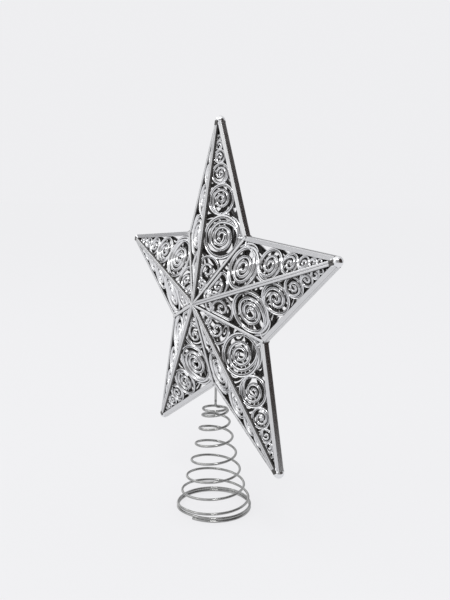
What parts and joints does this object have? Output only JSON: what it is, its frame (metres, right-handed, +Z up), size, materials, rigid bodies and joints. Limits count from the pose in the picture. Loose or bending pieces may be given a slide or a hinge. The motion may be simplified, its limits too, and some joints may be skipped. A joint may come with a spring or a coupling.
{
  "type": "tree topper star",
  "caption": "Openwork scroll star of two moulded half shells on a conical wire spring, pushed over the top shoot of a decorated tree.",
  "frame": {"origin": "on the spring's axis, at the level that the base coil stands on", "axes": "+Z up along the spring's axis, +X across the star to the right seen from its front, the star's front looks along -Y"},
  "size_m": [0.2198, 0.0491, 0.2514],
  "materials": {
    "silver_moulding": "bright silver metallised moulding",
    "spring_wire": "satin drawn steel wire"
  },
  "bodies": {
    "spring": {"coil_spring": "spring_wire"},
    "stem": {"stem": "spring_wire"},
    "star": {"front_shell": "silver_moulding", "back_shell": "silver_moulding"}
  },
  "joints": [
    {"name": "spring_compression", "type": "slide", "parent": "spring", "child": "stem", "axis": [0, 0, 1], "range_m": [-0.03, 0.01], "stiffness_N_per_m": 300, "springref_m": 0.00073, "deforming": ["coil_spring"]},
    {"name": "star_swivel", "type": "hinge", "parent": "stem", "child": "star", "pos_m": [0, 0, 0.088], "axis": [0, 0, 1], "continuous": true}
  ]
}
